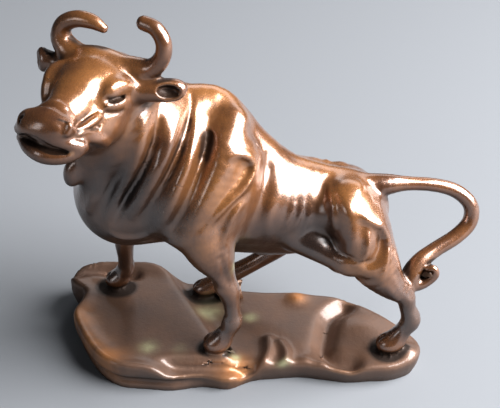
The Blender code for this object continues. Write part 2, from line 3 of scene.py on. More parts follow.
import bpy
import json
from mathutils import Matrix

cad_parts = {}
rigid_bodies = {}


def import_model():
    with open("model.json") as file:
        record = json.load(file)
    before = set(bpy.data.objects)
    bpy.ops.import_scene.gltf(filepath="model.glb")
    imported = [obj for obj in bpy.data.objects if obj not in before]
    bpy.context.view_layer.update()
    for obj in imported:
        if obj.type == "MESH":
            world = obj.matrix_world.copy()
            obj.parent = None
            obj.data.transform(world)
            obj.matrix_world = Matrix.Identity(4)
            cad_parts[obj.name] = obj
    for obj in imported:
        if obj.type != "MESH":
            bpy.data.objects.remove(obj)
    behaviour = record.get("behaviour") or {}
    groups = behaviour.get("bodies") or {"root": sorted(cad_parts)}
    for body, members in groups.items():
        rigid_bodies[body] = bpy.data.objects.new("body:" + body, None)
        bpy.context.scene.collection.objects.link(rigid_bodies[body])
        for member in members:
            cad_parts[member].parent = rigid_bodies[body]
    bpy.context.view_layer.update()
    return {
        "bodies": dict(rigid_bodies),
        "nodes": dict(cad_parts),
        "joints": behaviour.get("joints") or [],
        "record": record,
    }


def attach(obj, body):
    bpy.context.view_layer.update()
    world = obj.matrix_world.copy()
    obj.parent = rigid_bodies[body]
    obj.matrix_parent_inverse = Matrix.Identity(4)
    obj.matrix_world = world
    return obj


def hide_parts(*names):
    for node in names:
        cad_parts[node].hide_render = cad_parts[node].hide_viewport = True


bl_info = {
    "name": "Cast bronze bull",
    "version": (1, 0, 0),
    "blender": (4, 5, 0),
    "location": "3D View > Sidebar > Bronze",
    "description": "Models a small bronze bull on its rocky base, its patina, and a studio to see it in",
    "category": "Object",
}

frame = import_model()

import json
import math

import bmesh
import bpy
import numpy as np
from bpy.props import FloatProperty, FloatVectorProperty, PointerProperty
from mathutils import Matrix, Vector

MM = 0.001

# The casting's sizes, in millimetres, as the part has them.
FIGURE = 1.0  # the figure's size beside the one that it is set out for
BASE_THICKNESS = 4.0  # floor to the ground under the hooves
BASE_MARGIN = 4.5  # how far the base reaches past the hooves
SET_OUT_MARGIN = 4.5  # the margin that the base's outline is set out for
BASE_FOOT = 1.0  # how far the rim overhangs the foot of the base
BELOW_FLOOR = 1.5  # the rough block reaches this far under the floor before it is cut flat
CANNON_RADIUS = 1.4  # the thin part of each leg
HORN_RADIUS = 1.3
TAIL_RADIUS = 1.2
EAR_RADIUS = 1.65
CENTRE = (2.66, -4.23)  # the middle of the casting's own box

# How the skin is made: the first rough one, how softly masses, cuts and base meet, and the finer head.
FIRST_SKIN = 0.8
CUT_BLEND = 0.3
BASE_BLEND = 0.6
FAR_AWAY = 30.0
HEAD_MIDDLE = (0, 8, -4)
HEAD_REACH = 12.5

# The photograph's view: how far the camera looks down, its distance and lens, and the height it looks at.
LOOKING_DOWN = 34
CAMERA_DISTANCE = 0.190
CAMERA_LENS = 82.08
LOOKED_AT = 28.7

# Each lamp's name, its place from what the camera looks at, width, height, power and colour, in metres.
LAMPS = (
    ("window", (0.36, -0.06, 0.27), 0.46, 0.44, 11.5, (0.99, 0.99, 1.0)),
    ("wall", (0.14, 0.46, 0.26), 0.50, 0.22, 0.5, (0.98, 0.98, 1.0)),
    ("side_fill", (-0.42, -0.30, 0.16), 0.14, 0.22, 0.2, (0.90, 0.95, 1.0)),
)
AIR_COLOUR = (0.62, 0.68, 0.76, 1)
AIR_STRENGTH = 0.055

NEAR, FAR = -1, 1


# Masses, limbs and strokes, in millimetres


def span_point(a, b, c, d, t):
    """A point on the Catmull-Rom span from b to c."""
    return 0.5 * (2 * b + (c - a) * t + (2 * a - 5 * b + 4 * c - d) * t**2 + (3 * b - a - 3 * c + d) * t**3)


def smooth_line(points, per_span=4):
    """Points on a smooth curve through the given ones."""
    points = np.array(points, float)
    ends = np.vstack([2 * points[0] - points[1], points, 2 * points[-1] - points[-2]])
    line = []
    for corners in zip(ends[:-3], ends[1:-2], ends[2:-1], ends[3:]):
        line += [span_point(*corners, t) for t in np.arange(per_span) / per_span]
    line.append(points[-1])
    return np.array(line)


def closed_line(points, per_span=3):
    """The same kind of curve, closed on itself."""
    points = np.array(points, float)
    rolled = [np.roll(points, turn, 0) for turn in (1, 0, -1, -2)]
    return np.array(
        [span_point(*corners, t) for corners in zip(*rolled) for t in np.arange(per_span) / per_span]
    )


class Ball:
    """An egg-shaped mass: a centre, three half-widths, and its turns about Y and then Z in degrees."""

    def __init__(self, centre, radii, turn=(0, 0), blend=2.0):
        self.centre = np.array(centre, float)
        self.radii = np.array(radii, float)
        self.axes = np.array(
            Matrix.Rotation(math.radians(turn[1]), 3, "Z")
            @ Matrix.Rotation(math.radians(turn[0]), 3, "Y")
        )
        self.blend = blend

    def placed(self, frame):
        """The same mass, carried from a frame's own axes to the body's."""
        moved = Ball(frame.point(self.centre), self.radii, blend=self.blend)
        moved.axes = frame.axes @ self.axes
        return moved

    def reach(self):
        far = self.radii.max()
        return self.centre - far, self.centre + far

    def distance(self, points):
        local = (points - self.centre) @ self.axes
        share = np.linalg.norm(local / self.radii, axis=1)
        slope = np.linalg.norm(local / self.radii**2, axis=1)
        return share * (share - 1) / np.maximum(slope, 1e-6)

    def add_to(self, mesh):
        axes = Matrix(self.axes.tolist()).to_4x4()
        place = Matrix.Translation(Vector(self.centre)) @ axes @ Matrix.Diagonal((*self.radii, 1))
        bmesh.ops.create_icosphere(mesh, subdivisions=3, radius=1, matrix=place)


class Limb:
    """A tapering limb through points (x, y, z, radius). Narrow is its width across the body."""

    def __init__(self, points, blend=2.0, narrow=1.0):
        self.line = smooth_line(points)
        self.blend = blend
        self.narrow = narrow

    def placed(self, frame):
        moved = Limb([(0, 0, 0, 1), (1, 0, 0, 1)], self.blend, self.narrow)
        moved.line = self.line.copy()
        moved.line[:, :3] = [frame.point(p) for p in self.line[:, :3]]
        return moved

    def reach(self):
        centres, radii = self.line[:, :3], self.line[:, 3:]
        return (centres - radii).min(0), (centres + radii).max(0)

    def distance(self, points):
        squeeze = np.array((1, self.narrow, 1))
        found = points / squeeze
        best = np.full(len(points), 1e9)
        for start, end in zip(self.line[:-1], self.line[1:]):
            a, b = start[:3] / squeeze, end[:3] / squeeze
            along = np.clip((found - a) @ (b - a) / max((b - a) @ (b - a), 1e-9), 0, 1)
            nearest = a + along[:, None] * (b - a)
            radius = start[3] + along * (end[3] - start[3])
            best = np.minimum(best, np.linalg.norm(found - nearest, axis=1) - radius)
        return best * min(self.narrow, 1)

    def add_to(self, mesh):
        for start, end in zip(self.line[:-1], self.line[1:]):
            steps = max(1, math.ceil(np.linalg.norm(end[:3] - start[:3]) / (0.6 * start[3])))
            for t in np.arange(steps + 1) / steps:
                x, y, z, radius = start + t * (end - start)
                place = Matrix.Translation((x, y, z)) @ Matrix.Diagonal((1, self.narrow, 1, 1))
                bmesh.ops.create_icosphere(mesh, subdivisions=2, radius=radius, matrix=place)


class Frame:
    """A part of the body with axes of its own: left, forward and up."""

    def __init__(self, origin, turned, raised):
        turned, raised = math.radians(turned), math.radians(raised)
        forward = np.array(
            (-math.cos(turned) * math.cos(raised), -math.sin(turned) * math.cos(raised), math.sin(raised))
        )
        left = np.array((math.sin(turned), -math.cos(turned), 0.0))
        self.origin = np.array(origin, float)
        self.axes = np.column_stack([left, forward, np.cross(left, forward)])
        if self.axes[2, 2] < 0:
            self.axes[:, 2] *= -1

    def point(self, local):
        return self.origin + self.axes @ np.asarray(local, float)


def smooth_union(one, other, blend):
    share = np.clip(0.5 + 0.5 * (other - one) / blend, 0, 1)
    return other * (1 - share) + one * share - blend * share * (1 - share)


def smooth_cut(body, tool, blend):
    return -smooth_union(-body, tool, blend)


class Stroke:
    """A modelling tool drawn along points in space: a ridge, or a groove where its height is below zero."""

    def __init__(self, points, height, width):
        self.line = smooth_line([tuple(p) + (0.0,) for p in points], per_span=3)[:, :3]
        self.height = height
        self.width = width

    def placed(self, frame):
        moved = Stroke([(0, 0, 0), (1, 0, 0)], self.height, self.width)
        moved.line = np.array([frame.point(p) for p in self.line])
        return moved

    def lift(self, points):
        low, high = self.line.min(0) - 2.5 * self.width, self.line.max(0) + 2.5 * self.width
        lifted = np.zeros(len(points))
        near = ((points > low) & (points < high)).all(1)
        if not near.any():
            return lifted
        spot, best = points[near], np.full(near.sum(), 1e9)
        for a, b in zip(self.line[:-1], self.line[1:]):
            along = np.clip((spot - a) @ (b - a) / max((b - a) @ (b - a), 1e-9), 0, 1)
            best = np.minimum(best, np.linalg.norm(spot - a - along[:, None] * (b - a), axis=1))
        lifted[near] = self.height * np.exp(-((best / self.width) ** 2))
        return lifted


class Fold:
    """A ridge drawn over one side through points (x, z). Below zero its height makes a crease."""

    def __init__(self, points, height, width, side=NEAR):
        self.line = smooth_line([(x, z) for x, z in points], per_span=3)
        self.height = height
        self.width = width
        self.side = side

    def lift(self, points):
        low, high = self.line.min(0) - 3 * self.width, self.line.max(0) + 3 * self.width
        flat = points[:, (0, 2)]
        lifted = np.zeros(len(points))
        near = ((flat > low) & (flat < high)).all(1) & (self.side * points[:, 1] > 0)
        if not near.any():
            return lifted
        spot, best, share = flat[near], np.full(near.sum(), 1e9), np.zeros(near.sum())
        spans = len(self.line) - 1
        for k, (a, b) in enumerate(zip(self.line[:-1], self.line[1:])):
            along = np.clip((spot - a) @ (b - a) / max((b - a) @ (b - a), 1e-9), 0, 1)
            gap = np.linalg.norm(spot - a - along[:, None] * (b - a), axis=1)
            closer = gap < best
            best = np.where(closer, gap, best)
            share = np.where(closer, (k + along) / spans, share)
        ends = np.clip(5 * share * (1 - share), 0, 1)
        depth = np.clip((self.side * points[near, 1] - 1.0) / 3.0, 0, 1)
        lifted[near] = self.height * np.exp(-((best / self.width) ** 2)) * ends * depth
        return lifted


# The bull's masses


def trunk():
    return [
        Limb([(-18.2, -1, 34.6, 9.6), (-12, -0.5, 35.2, 11.6), (-4, 0, 32.8, 10.4), (4, 0, 29.8, 8.2),
              (12, 0, 28.8, 6.6), (17, 0, 28.0, 6.0)], blend=2.5, narrow=0.92),
        Limb([(-17, -1, 45.4, 4.0), (-11.5, -0.5, 46.4, 4.0), (-6.4, 0, 46.8, 3.9), (-3.4, 0, 44.2, 3.8),
              (0.2, 0, 39.2, 3.6), (4.0, 0, 35.4, 3.1), (10, 0, 32.6, 3.0), (17, 0, 31.4, 2.8)], blend=2.0),
        Ball((-20.4, -1.8, 31.6), (7.8, 7.8, 7.9), blend=3.5),
        Ball((15.2, 0, 28.6), (6.6, 6.2, 4.7), blend=2.5),
        Limb([(-2, 0, 24.2, 4.4), (5, 0, 23.2, 3.9), (12, -1, 23.6, 3.3)], blend=2),
        Limb([(8, 3.2, 33.6, 1.9), (12, 4.0, 32.8, 2.1), (16, 3.8, 31.2, 2.2)], blend=1.4),
        Limb([(8, -4.6, 25.2, 2.6), (12, -6.2, 24.2, 2.6), (16, -7.4, 22.8, 2.6)], blend=1.6),
        Limb([(6, 0, 20.6, 1.4), (2, 0, 19.6, 1.2)], blend=1.4),
        Ball((17.0, 0.4, 21.2), (2.0, 2.2, 2.8), blend=1.2),
    ]


def neck():
    return [
        Limb([(-13, -1, 39, 9.8), (-17, -3.2, 44.5, 8.6), (-19.6, -5.0, 49.5, 7.0), (-20.6, -6.2, 54, 5.4)],
             blend=3.5),
        Limb([(-23.4, -11.2, 49.5, 1.8), (-24.6, -9.2, 44, 2.1), (-24.6, -7.2, 38, 2.2),
              (-23.6, -4.8, 32, 2.6), (-21.5, -2, 27.8, 2.8)], blend=2.4),
        Ball((-27.2, -9.5, 41.0), (1.5, 1.5, 2.5), turn=(12, 0), blend=1.4),
    ]


def near_shoulder():
    return [
        Limb([(-2.6, -3.4, 46.2, 2.4), (-4.0, -6.4, 43.2, 3.3), (-6.2, -8.0, 39.5, 4.0),
              (-8.4, -8.6, 35, 4.5), (-10.0, -8.6, 31, 4.4)], blend=2.4),
        Limb([(-1.6, -5.3, 42.3, 1.9), (-1.0, -6.0, 39.6, 2.3), (-2.2, -7.3, 36.0, 2.9),
              (-4.2, -8.4, 32, 3.2), (-5.4, -9.0, 28.5, 2.8)], blend=2.2),
    ]


def far_shoulder():
    return [
        Limb([(-7, 5.0, 42, 2.8), (-9, 6.6, 39, 3.8), (-12.5, 7.6, 34.5, 4.6), (-16.5, 7.2, 30, 4.4)],
             blend=1.8),
        Limb([(-4, 5.6, 37, 2.4), (-7.5, 7.2, 33.5, 3.1), (-12, 7.6, 29.5, 3.3)], blend=1.5),
    ]


def forelegs():
    thin = CANNON_RADIUS / FIGURE
    return [
        Limb([(-7.9, -9.0, 30, 4.6), (-6.4, -9.5, 26.4, 3.9), (-5.0, -9.7, 23, 2.5),
              (-4.0, -9.8, 20.3, 1.75), (-3.5, -9.8, 18.2, 1.85), (-3.1, -9.8, 15.4, thin),
              (-2.9, -9.8, 13.2, thin), (-3.0, -9.8, 11.6, 1.75), (-3.7, -9.8, 9.8, 1.5),
              (-4.6, -9.7, 8.2, 1.7)], blend=1.1),
        Limb([(-17.5, 6.6, 28, 4.2), (-20.3, 6.4, 22.8, 2.9), (-21.9, 6.4, 18.4, 1.9),
              (-22.3, 6.5, 15.8, 1.7), (-22.3, 6.7, 13, thin), (-22.4, 7, 11, thin),
              (-22.5, 7.2, 9.8, 1.6), (-23.3, 7.3, 8.4, 1.6)], blend=1.1),
    ]


def hind_legs():
    thin = CANNON_RADIUS / FIGURE
    return [
        Limb([(15.8, -4.2, 30.6, 5.2), (18.0, -5.6, 26.5, 5.1), (20.4, -6.8, 22, 4.2),
              (23.0, -7.8, 18.4, 2.7), (25.7, -8.2, 16.0, 1.8), (26.5, -8.3, 13.4, thin),
              (27.2, -8.4, 10.8, 1.7), (26.2, -8.5, 8.8, 1.45), (25.2, -8.6, 7.2, 1.7)], blend=1.3),
        Ball((16.6, -8.4, 23.2), (3.4, 2.2, 2.6), turn=(-25, 0), blend=1.0),
        Limb([(16.2, 3.8, 26.8, 4.4), (13.2, 6.0, 24.6, 4.4), (10.3, 7.2, 20.8, 3.4), (7.6, 7.5, 17.2, 2.3),
              (5.0, 7.4, 14.5, 1.95), (1.2, 7.2, 11.5, 1.1 * thin), (-3.4, 7.0, 8.7, 1.65),
              (-5.6, 7, 7.3, 1.5), (-6.8, 7, 6.4, 1.6)], blend=1.3),
    ]


def hooves():
    return [
        Ball((-5.6, -9.7, 6.9), (2.5, 2.1, 1.9), turn=(-14, 0), blend=0.7),
        Ball((-24.1, 7.3, 7.4), (2.4, 1.9, 1.7), turn=(-12, 0), blend=0.7),
        Ball((24.0, -8.7, 6.0), (2.5, 2.1, 1.8), turn=(-14, 0), blend=0.7),
        Ball((-8.1, 7.0, 5.6), (2.5, 1.9, 1.7), turn=(-14, 0), blend=0.7),
    ]


def tail():
    r = TAIL_RADIUS / FIGURE
    return [
        Limb([(18.5, 0, 32.0, 2.4), (22.4, 0, 32.6, 1.5 * r), (26.0, 0.3, 32.6, r),
              (30.5, 0.6, 32.1, 0.95 * r), (34.2, 0.6, 30.9, r), (36.8, 0.3, 28.4, 1.05 * r),
              (36.9, -0.4, 25.4, 1.1 * r), (34.6, -1.6, 23.2, 1.1 * r), (31, -3.2, 21.6, 1.1 * r),
              (28.3, -4.8, 20.2, 1.25 * r), (26.9, -6.0, 18.2, 1.4 * r), (27.6, -6.4, 16.9, 1.1 * r),
              (29.5, -6.4, 17.3, 0.75 * r),
              (30.9, -6.4, 18.8, 0.6 * r), (30.5, -6.4, 20.1, 0.5 * r), (29.5, -6.4, 19.9, 0.4 * r)],
             blend=0.6),
    ]


HEAD = Frame((-21.6, -6.0, 58.6), turned=66, raised=5)


def head():
    parts = [
        Ball((0.2, 3.0, -3.6), (6.0, 5.6, 5.2), blend=2),
        Ball((0, 5.2, -3.2), (5.5, 5.0, 3.7), blend=2),
        Limb([(-5.6, 0, -0.6, 1.8), (-1, 0.6, 0.2, 1.7), (2.4, 0.6, -0.5, 1.7), (5.6, 0, -1.0, 1.8)],
             blend=1.5),
        Limb([(0, 6.5, -3.6, 3.8), (0, 11, -4.4, 3.2), (0, 14.2, -4.8, 2.8)], blend=1.6),
        Ball((-0.5, 15.0, -4.4), (4.5, 2.5, 2.3), blend=1.1),
        Limb([(-4.5, 15.4, -5.8, 1.0), (-2.7, 16.3, -5.0, 1.1), (-0.6, 16.3, -5.1, 1.15),
              (1.4, 16.0, -5.9, 1.2), (3.0, 15.1, -6.6, 1.1), (4.0, 14.0, -7.2, 0.9)], blend=0.8),
        Limb([(0, 3, -8.4, 3.8), (0, 8, -8.8, 3.3), (0, 12, -9.0, 2.4)], blend=2),
        Ball((-0.3, 12.6, -8.6), (4.1, 3.0, 1.9), blend=1.2),
        Limb([(-4.8, 14.6, -7.6, 1.0), (-2.8, 15.9, -8.2, 1.2), (-0.4, 16.3, -8.5, 1.4),
              (1.8, 15.6, -8.5, 1.35), (3.3, 14.4, -8.2, 1.15), (4.0, 13.2, -7.8, 0.9)], blend=0.8),
        Ball((-4.8, 6.2, -3.3), (1.4, 3.0, 2.8), blend=1.5),
        Ball((-4.7, 4.6, -1.4), (1.5, 2.6, 1.5), blend=1.2),
    ]
    for side in (NEAR, FAR):
        parts += [
            Ball((side * 3.4, 6.0, -7.0), (2.4, 4.0, 3.6), blend=1.5),
            Ball((side * 4.6, 6.3, -3.2), (1.1, 1.6, 1.2), blend=0.5),
            Limb([(side * 4.2, 7.2, -2.0, 0.8), (side * 4.8, 5.9, -1.4, 1.1),
                  (side * 5.3, 4.2, -1.5, 1.2), (side * 5.6, 2.4, -2.3, 1.0)], blend=0.8),
            Limb([(side * 3.4, 14.2, -5.1, 0.5), (side * 3.8, 12.4, -5.0, 0.6),
                  (side * 4.2, 10.4, -4.8, 0.7), (side * 4.4, 9.2, -4.5, 0.5)], blend=0.6),
            Limb([(side * 3.7, 12.8, -7.0, 0.5), (side * 4.1, 11.2, -7.3, 0.65),
                  (side * 4.4, 9.6, -8.0, 0.8), (side * 4.3, 7.8, -9.2, 0.9)], blend=0.7),
        ]
    return [part.placed(HEAD) for part in parts]


def mouth():
    return Limb([(-4.0, 16.2, -6.7, 0.35), (-2.6, 17.2, -6.2, 0.75), (-0.8, 17.4, -6.3, 0.85),
                 (1.0, 17.1, -7.0, 0.7), (2.4, 16.2, -7.4, 0.45), (3.4, 15.4, -7.7, 0.25)]).placed(HEAD)


def ears():
    r = EAR_RADIUS / FIGURE
    return [
        Limb([(4.6, 1.4, -3.2, 1.15 * r), (7.4, 0.6, -3.2, 1.08 * r), (10.0, -0.2, -3.0, 1.08 * r),
              (11.3, -0.8, -2.9, r), (12.0, -1.2, -2.7, 0.7 * r)], blend=0.9).placed(HEAD),
        Limb([(-4.6, 0.6, -2.2, 1.05 * r), (-7.4, 0.2, -2.0, 0.85 * r), (-9.2, 0.3, -1.9, 0.85 * r)],
             blend=0.9).placed(HEAD),
        Ball((-10.3, 0.6, -1.9), (0.6 * r, 0.8 * r, 1.2 * r), turn=(0, -49), blend=0.9).placed(HEAD),
    ]


def ear_cups():
    return [
        Ball((11.3, 1.0, -2.7), (1.8, 1.5, 1.05), turn=(8, -25)).placed(HEAD),
        Ball((-11.0, 1.45, -1.9), (0.7, 0.85, 1.45), turn=(0, -49)).placed(HEAD),
    ]


def horns():
    r = HORN_RADIUS / FIGURE
    return [
        Limb([(5.0, 0, -0.8, 1.45 * r), (8.0, 0, 0.1, 1.15 * r), (9.75, 0, 2.2, 0.97 * r),
              (9.95, 0, 4.5, 0.92 * r), (8.7, 0, 6.3, 0.88 * r), (6.8, 0, 6.8, 0.85 * r)],
             blend=1.0).placed(HEAD),
        Limb([(-5.2, 0, -0.4, 1.55 * r), (-7.1, 0, 1.8, 1.28 * r), (-6.7, 0, 4.1, 1.05 * r),
              (-4.5, 0, 5.4, 0.98 * r), (-1.9, 0, 5.5, 0.88 * r), (0.1, 0, 4.8, 0.55 * r)],
             blend=1.0).placed(HEAD),
    ]


def folds():
    """The dewlap's long folds, the edges of the shoulder, and the hollows of flank and thigh."""
    drawn = []
    for side in (NEAR, FAR):
        drawn += [
            Fold([(-5.8, 46.6), (-6.8, 43.3), (-8.6, 38.8), (-10.9, 33.9), (-13.0, 29.0)], -1.3, 1.3, side),
            Fold([(-7.6, 48.4), (-9.0, 44.7), (-11.5, 38.9), (-14, 33.5), (-15.6, 29.6)], 0.8, 1.1, side),
            Fold([(-9.4, 49.2), (-10.4, 45.6), (-12.6, 41.4), (-15.2, 36.8), (-17.6, 31.6)], -0.9, 0.9,
                 side),
            Fold([(-11, 53), (-11.6, 47.4), (-14.4, 41.2), (-17.0, 36.2), (-19.0, 32.6)], 0.7, 1.3, side),
            Fold([(-13.7, 52.5), (-14.4, 47), (-17, 41), (-19.3, 36.4), (-21.8, 31.0)], -1.1, 0.9, side),
            Fold([(-15.6, 52), (-16.4, 46.6), (-18.9, 40.6), (-21.2, 36), (-23.4, 31.6)], 0.55, 1.1, side),
            Fold([(-17.6, 47.0), (-20.2, 40.2), (-22.6, 35.2), (-24.6, 31.4)], -0.45, 0.9, side),
            Fold([(-19.2, 48.0), (-21.8, 41.4), (-23.8, 37.0), (-25.8, 32.8)], 0.4, 1.0, side),
            Fold([(-3.8, 44.2), (-1.9, 44.1), (-0.3, 43.2), (0.8, 41.7), (0.6, 40.1), (-0.8, 38.5),
                  (-2.9, 36.9), (-5.6, 34.2), (-8.6, 30.4)], 0.85, 0.75, side),
            Fold([(2.8, 41.0), (2.6, 37.5), (1.4, 33.0), (-0.6, 27.5)], -0.8, 1.3, side),
            Fold([(-0.8, 36.4), (-2.4, 34.4), (-3.4, 31.8), (-4.4, 28.4)], 0.6, 0.7, side),
            Fold([(12.2, 36.0), (13.0, 31.5), (13.4, 27.5), (14.2, 24.6)], -0.7, 1.5, side),
            Fold([(14.6, 34.8), (16.0, 32.4), (16.4, 29.0), (15.2, 25.2)], 0.5, 1.0, side),
            Fold([(16.4, 33.4), (19.2, 31.8), (21.4, 30.0), (22.4, 26.8)], 0.8, 0.9, side),
            Fold([(17.4, 34.8), (19.6, 33.8), (21.4, 32.4)], -0.5, 0.9, side),
            Fold([(20.8, 30.6), (20.9, 27.4), (20.0, 24.6), (18.0, 23.8)], -0.7, 0.9, side),
        ]
    return drawn


def face_detail():
    """Eyes with their lids, the hollows before them, the nostrils' rims and the muzzle's wrinkles."""
    masses, strokes = [], []
    for side in (NEAR, FAR):
        masses += [
            Ball((side * 4.9, 5.7, -1.9), (1.0, 1.4, 1.0), blend=0.4),
            Limb([(side * 3.9, 13.6, -5.3, 0.45), (side * 4.2, 11.6, -5.8, 0.5),
                  (side * 4.4, 9.8, -6.4, 0.45)], blend=0.9),
        ]
        strokes += [
            Stroke([(side * 4.9, 7.6, -2.6), (side * 5.4, 6.4, -3.0), (side * 5.7, 4.8, -3.1)], -0.4, 0.45),
            Stroke([(side * 4.9, 7.8, -3.4), (side * 5.3, 6.5, -3.9), (side * 5.7, 4.9, -4.0)], 0.45, 0.38),
            Stroke([(side * 4.8, 8.0, -4.4), (side * 5.3, 6.8, -4.8), (side * 5.6, 5.2, -5.0)], -0.3, 0.4),
            Stroke([(side * 4.6, 7.7, -1.3), (side * 5.2, 6.2, -0.9), (side * 5.6, 4.2, -1.6)], 0.25, 0.4),
            Stroke([(side * 4.2, 8.2, -0.2), (side * 4.5, 8.9, -1.3), (side * 4.6, 9.3, -2.5)], -1.3, 1.0),
            Stroke([(side * 3.6, 14.2, -4.2), (side * 4, 12.4, -4), (side * 4.4, 10.6, -3.6)], -0.4, 0.45),
            Stroke([(side * 3.9, 13.8, -5.1), (side * 4.3, 11.6, -5.5), (side * 4.6, 9.8, -6.1)], -0.35,
                   0.4),
            Stroke([(side * 4, 13.2, -6.3), (side * 4.3, 11.4, -6.7), (side * 4.5, 9.7, -7.3)], 0.3, 0.45),
        ]
    strokes += [
        Stroke([(-3.2, 14.4, -2.9), (-0.5, 14.2, -1.9), (2.2, 14.6, -2.1)], -0.3, 0.4),
        Stroke([(-2.8, 13.0, -2.4), (0, 13.2, -1.6), (2.6, 13.2, -2.2)], 0.15, 0.4),
        Stroke([(2.6, 16.4, -2.2), (3.5, 15.9, -2.6), (3.9, 15.7, -3.5), (3.6, 16.1, -4.5)], 0.55, 0.45),
        Stroke([(2.6, 16.7, -2.9), (3.1, 16.5, -3.4), (3.1, 16.5, -4.1)], -0.5, 0.32),
        Stroke([(-3.6, 16.2, -3.4), (-4.1, 15.9, -4.2)], -0.4, 0.32),
    ]
    return [mass.placed(HEAD) for mass in masses], [stroke.placed(HEAD) for stroke in strokes]


def face_cuts():
    """The far nostril's hole and the slit of each eye."""
    cuts = [
        Ball((-3.9, 16.4, -3.9), (0.3, 0.6, 0.5), turn=(-20, 0)),
        *(Ball((side * 5.5, 5.9, -2.95), (0.6, 1.1, 0.3), turn=(0, side * 14)) for side in (NEAR, FAR)),
    ]
    return [cut.placed(HEAD) for cut in cuts]


def leg_detail():
    """Knees, dew claws, the cleft of each hoof and the tendons behind the cannons."""
    masses, strokes, cuts = [], [], []
    for x, y, z in ((-5.6, -9.7, 6.9), (-24.1, 7.3, 7.4), (24.0, -8.7, 6.0), (-8.1, 7.0, 5.6)):
        cuts.append(Ball((x - 2.4, y, z + 0.2), (1.7, 0.26, 2.4)))
        for side in (-0.75, 0.75):
            masses.append(Ball((x + 2.6, y + side, z + 3.4), (0.55, 0.5, 0.7), blend=0.4))
    masses += [
        Ball((-4.5, -10.1, 19.6), (1.5, 1.4, 1.9), blend=0.8),
        Ball((-22.4, 6.6, 17.2), (1.4, 1.3, 1.7), blend=0.8),
    ]
    strokes += [
        Stroke([(-7.5, -12.6, 27), (-6.2, -12.3, 23.5), (-4.9, -11.6, 20.8)], 0.35, 0.6),
        Stroke([(-4.6, -12.8, 27), (-4.2, -12.0, 23.5), (-3.4, -11.5, 20.8)], -0.3, 0.5),
        Stroke([(24.0, -9.8, 21.5), (25.6, -9.6, 18.5), (26.9, -9.4, 16.6)], -0.35, 0.5),
        Stroke([(22.2, -10.6, 19.5), (24.4, -10.2, 16.6)], 0.3, 0.5),
    ]
    return masses, strokes, cuts


def body_folds():
    """Finer folds between the great ones: ribs, the skin of the flank, and the thigh's muscles."""
    drawn = []
    for side in (NEAR, FAR):
        drawn += [
            Fold([(3.6, 35), (2.8, 30.5), (3.4, 25.5)], 0.18, 0.7, side),
            Fold([(7.2, 33.4), (6.4, 31.0), (5.2, 28.6)], 0.25, 0.4, side),
            Fold([(8.6, 33.2), (7.8, 30.4), (6.4, 27.6)], 0.25, 0.4, side),
            Fold([(10.0, 32.4), (9.2, 29.6), (8.0, 27.0)], 0.25, 0.4, side),
            Fold([(12.6, 35.2), (13.2, 32.2), (13.3, 29.0)], 0.45, 0.5, side),
            Fold([(18.6, 31.0), (18.8, 27.4), (17.8, 25.0), (16.2, 23.8)], 0.5, 0.55, side),
            Fold([(22.4, 29.0), (22.4, 25.8), (21.6, 22.2), (20.2, 19.6)], 0.4, 0.6, side),
            Fold([(13.8, 24.8), (15.6, 25.2), (17.8, 24.6), (19.8, 24.8)], -0.4, 0.5, side),
            Fold([(13.8, 22.0), (15.6, 20.4), (18.4, 20.4), (20.6, 21.6)], -0.4, 0.6, side),
            Fold([(-9.0, 53), (-9.2, 49.0), (-10.0, 46)], -0.4, 0.5, side),
            Fold([(-24.2, 37.4), (-25.4, 34.6), (-26.0, 32)], 0.35, 0.7, side),
            Fold([(-14.6, 31.4), (-17.0, 29.0), (-20.4, 28.6), (-23.0, 30.0)], 0.4, 0.6, side),
            Fold([(-12.6, 30.0), (-15.6, 27.4), (-19.6, 26.8)], -0.35, 0.6, side),
        ]
    return drawn


def bull():
    return [*trunk(), *neck(), *near_shoulder(), *far_shoulder(), *forelegs(), *hind_legs(), *hooves(),
            *tail(), *head(), *ears(), *horns()]


# The rocky base


# The base's foot seen from above, going round it from its left end along the near side.
OUTLINE = (
    (-31.4, -0.5), (-29.6, -5.5), (-26.4, -11.0), (-22.4, -14.2), (-17.5, -14.9), (-13.0, -15.3),
    (-8.0, -14.4), (-3.5, -15.0), (0.6, -12.9), (4.8, -12.3), (8.6, -12.0), (12.5, -12.6), (16.4, -13.3),
    (20.6, -13.0), (24.6, -12.6), (28.4, -10.6), (29.6, -7.0), (28.0, -3.6), (24.6, 0.2), (20.8, 3.6),
    (17.2, 6.2), (12.0, 7.2), (6.5, 7.9), (2.0, 8.0), (-3.0, 8.8), (-7.0, 10.4), (-11.4, 10.6),
    (-14.0, 12.4), (-18.0, 14.4), (-23.0, 14.4), (-27.6, 14.2), (-31.4, 12.6), (-33.2, 9.8),
    (-32.0, 7.2), (-30.2, 5.6), (-30.4, 3.0),
)


def base_outline():
    grown = BASE_MARGIN - SET_OUT_MARGIN
    points = closed_line(OUTLINE)
    out = points - points.mean(0)
    return FIGURE * points + grown * out / np.linalg.norm(out, axis=1)[:, None]


def outline_distance(x, y):
    """Distance to the outline in plan, negative inside it."""
    corners = base_outline()
    spot = np.column_stack([x, y])
    best = np.full(len(x), 1e9)
    inside = np.zeros(len(x), bool)
    for a, b in zip(corners, np.roll(corners, -1, 0)):
        along = np.clip((spot - a) @ (b - a) / ((b - a) @ (b - a)), 0, 1)
        best = np.minimum(best, np.linalg.norm(spot - a - along[:, None] * (b - a), axis=1))
        crosses = (a[1] > y) != (b[1] > y)
        rise = b[1] - a[1] if abs(b[1] - a[1]) > 1e-9 else 1e-9
        inside ^= crosses & (x < (b[0] - a[0]) * (y - a[1]) / rise + a[0])
    return np.where(inside, -best, best)


def step(value, soft):
    return 1 / (1 + np.exp(np.clip(-value / soft, -40, 40)))


def bump(x, y, cx, cy, wide):
    return np.exp(-((x - cx) ** 2 + (y - cy) ** 2) / wide**2)


